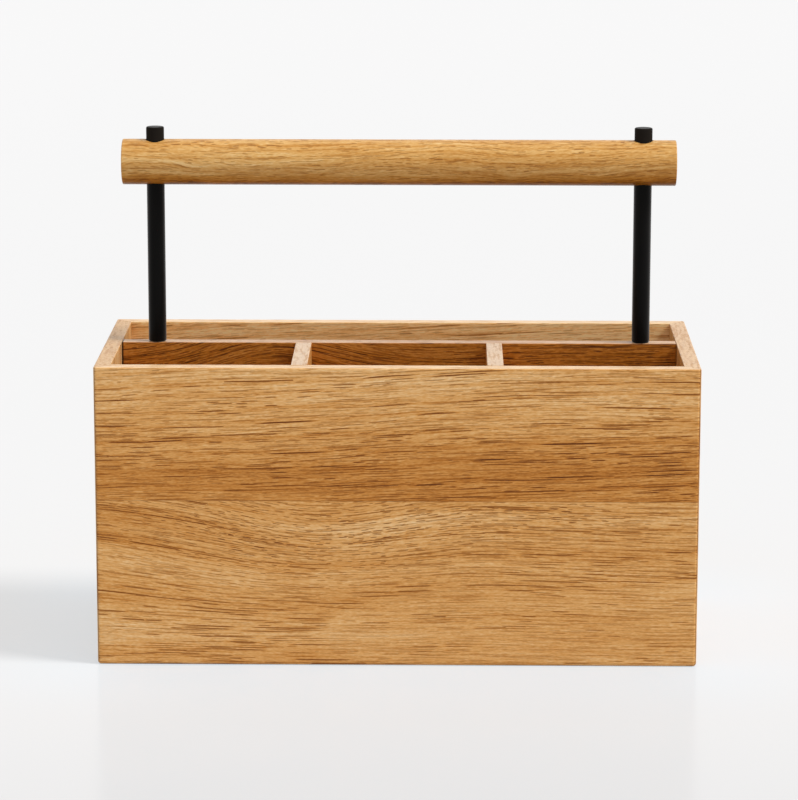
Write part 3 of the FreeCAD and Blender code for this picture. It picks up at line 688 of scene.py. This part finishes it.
# Darkest and palest colour, IOR and sheen of a coating. The caps' flat tops are seen at a
# low angle, where a higher IOR or more sheen would turn them pale.
POST_LOOK = ((3, 2, 2), (7, 6, 5), 1.13, 0.6)
# The caps' paler colour is a painted sheen, in place of the reflection their low IOR leaves
# out.
CAP_LOOK = ((32, 28, 25), (38, 34, 30), 1.04, 0.05)
GRIT_SIZE = (0.35, 0.35, 0.35)
COATING_CLOUD_SIZE = (9, 9, 14)
COATING_ROUGHNESS = 0.22
COATING_SHEEN_ROUGHNESS = 0.38
ZINC_DARK, ZINC_PALE = (176, 176, 170), (206, 207, 204)
ZINC_CLOUD_SIZE = (2.5, 2.5, 2.5)
ZINC_SCRATCH_SIZE = (0.2, 0.2, 3.0)
ZINC_ROUGHNESS = 0.34
# The height of the fine texture on metal, in millimetres.
METAL_DEPTH = 0.02


def black_coating(name, look):
    """A satin black coat with a very fine texture."""
    dark_rgb, pale_rgb, ior, sheen = look
    graph = material_graph(name)
    place = graph.place()
    grit = graph.sized_noise(place, GRIT_SIZE, detail=2.0)
    cloud = graph.sized_noise(place, COATING_CLOUD_SIZE, detail=3.0)
    return principled(
        graph,
        Base_Color=graph.clouds(cloud, dark_rgb, pale_rgb),
        Roughness=cloud * 0.10 + grit * 0.06 + COATING_ROUGHNESS,
        IOR=ior,
        Sheen_Weight=sheen,
        Sheen_Roughness=COATING_SHEEN_ROUGHNESS,
        Normal=graph.bump(grit, METAL_DEPTH),
    )


def zinc(name):
    """Zinc-plated steel, cloudy and finely scratched."""
    graph = material_graph(name)
    place = graph.place()
    cloud = graph.sized_noise(place, ZINC_CLOUD_SIZE, detail=3.0)
    scratch = graph.sized_noise(place, ZINC_SCRATCH_SIZE, detail=2.0)
    return principled(
        graph,
        Base_Color=graph.clouds(cloud, ZINC_DARK, ZINC_PALE),
        Metallic=1.0,
        Roughness=cloud * 0.2 + scratch * 0.15 + ZINC_ROUGHNESS,
        Normal=graph.bump(scratch, METAL_DEPTH),
    )


# ------------------------------------------------------------------ dress the nodes

def dress(node_names, material):
    """Gives CAD nodes their material in every slot they have."""
    for node_name in node_names:
        node = frame["nodes"][node_name]
        if not node.material_slots:
            node.data.materials.append(material)
        for slot in node.material_slots:
            slot.material = material


def dress_all():
    for node_name, board in BOARDS.items():
        dress((node_name,), oak("oak_" + node_name, board))
    dress(HIDDEN_OAK, oak("oak_hidden", HIDDEN_BOARD))
    dress(POSTS, black_coating("post_coating", POST_LOOK))
    dress(CAPS, black_coating("cap_coating", CAP_LOOK))
    dress(STEEL, zinc("zinc_plate"))


# ------------------------------------------------------------------ floor, light, camera

def floor_material():
    """What the camera sees: shaded paint, glow and a faint sheen. Other rays: a plain grey."""
    graph = material_graph("floor")
    x, y, z = graph.place()
    mottle = graph.noise(x / MOTTLE_SIZE, y / MOTTLE_SIZE, 0.0, detail=3.0)
    darker = hump(graph, x, y, DARKER_PLACE, DARKER_REACH) + mottle * MOTTLE_SHARE
    beyond_x = (x.size() - MM_PER_METRE * cad_box[1][0]).at_least(0.0)
    beyond_y = (y.size() - MM_PER_METRE * cad_box[1][1]).at_least(0.0)
    beside = graph.distance(beyond_x, beyond_y).step(BESIDE_REACH, 0.0)
    far = graph.distance(x, y).step(FAR_FROM, FAR_TO)
    glow_colour = graph.mix(far, FLOOR_GLOW, GLOW_FAR)
    glow_colour = graph.mix(beside, glow_colour, GLOW_BESIDE)
    glow_colour = graph.mix(darker, glow_colour, DARKER_LEVEL, "MULTIPLY")
    shaded_colour = graph.mix(darker, FLOOR_SHADED, DARKER_LEVEL, "MULTIPLY")

    bounce = graph.shader("ShaderNodeBsdfDiffuse", Color=FLOOR_BOUNCE)
    shaded = graph.shader("ShaderNodeBsdfDiffuse", Color=shaded_colour)
    glow = graph.shader("ShaderNodeEmission", Color=glow_colour)
    sheen = graph.shader(
        "ShaderNodeBsdfGlossy", Color=SHEEN_COLOUR, Roughness=SHEEN_ROUGHNESS,
    )
    pale = graph.node("ShaderNodeAddShader")
    graph.put(shaded, pale.inputs[0])
    graph.put(glow, pale.inputs[1])
    polished = graph.two_shaders(SHEEN_SHARE, pale.outputs[0], sheen)
    surface = graph.two_shaders(graph.seen_rays(), bounce, polished)
    return graph.finish("ShaderNodeOutputMaterial", surface)


def floor():
    """A wide pale floor that keeps the caddy's shadow."""
    mesh = bpy.data.meshes.new("floor")
    corners = [
        (FLOOR_RADIUS * math.cos(turn), FLOOR_RADIUS * math.sin(turn), 0.0)
        for turn in (math.tau * step / FLOOR_SIDES for step in range(FLOOR_SIDES))
    ]
    mesh.from_pydata(corners, [], [tuple(range(FLOOR_SIDES))])
    mesh.materials.append(floor_material())
    thing = bpy.data.objects.new("floor", mesh)
    bpy.context.collection.objects.link(thing)


def world():
    """Plain white light all round; the camera and reflections see the pale backdrop."""
    graph = Graph(bpy.data.worlds.new("studio"))
    light = graph.shader("ShaderNodeBackground", Color=WHITE, Strength=SKY_STRENGTH)
    seen = graph.shader("ShaderNodeBackground", Color=WHITE, Strength=SEEN_BACKDROP)
    surface = graph.two_shaders(graph.seen_rays(), light, seen)
    bpy.context.scene.world = graph.finish("ShaderNodeOutputWorld", surface)


def key_light():
    """The soft source that throws the shadow to the left."""
    lamp = bpy.data.lights.new("key", "SUN")
    lamp.energy = KEY_STRENGTH
    lamp.angle = math.radians(KEY_ANGLE)
    thing = bpy.data.objects.new("key", lamp)
    rise = math.radians(KEY_ELEVATION)
    turn = math.radians(KEY_TOWARDS_FRONT)
    towards = Vector((
        math.cos(rise) * math.cos(turn),
        -math.cos(rise) * math.sin(turn),
        math.sin(rise),
    ))
    thing.location = towards * KEY_DISTANCE
    thing.rotation_euler = towards.to_track_quat("Z", "Y").to_euler()
    bpy.context.collection.objects.link(thing)


def camera():
    data = bpy.data.cameras.new("camera")
    data.lens = CAMERA_LENS
    data.sensor_width = SENSOR_WIDTH
    data.clip_start = NEAREST
    data.clip_end = FARTHEST
    thing = bpy.data.objects.new("camera", data)
    turn = Matrix.Rotation(math.radians(CAMERA_TURN), 4, "Z")
    tip = Matrix.Rotation(math.radians(90.0 - CAMERA_TIP), 4, "X")
    roll = Matrix.Rotation(math.radians(CAMERA_ROLL), 4, "Z")
    thing.matrix_world = Matrix.Translation(CAMERA_PLACE) @ turn @ tip @ roll
    bpy.context.collection.objects.link(thing)
    bpy.context.scene.camera = thing


dress_all()
floor()
world()
key_light()
camera()
bpy.context.scene.view_settings.view_transform = "Standard"
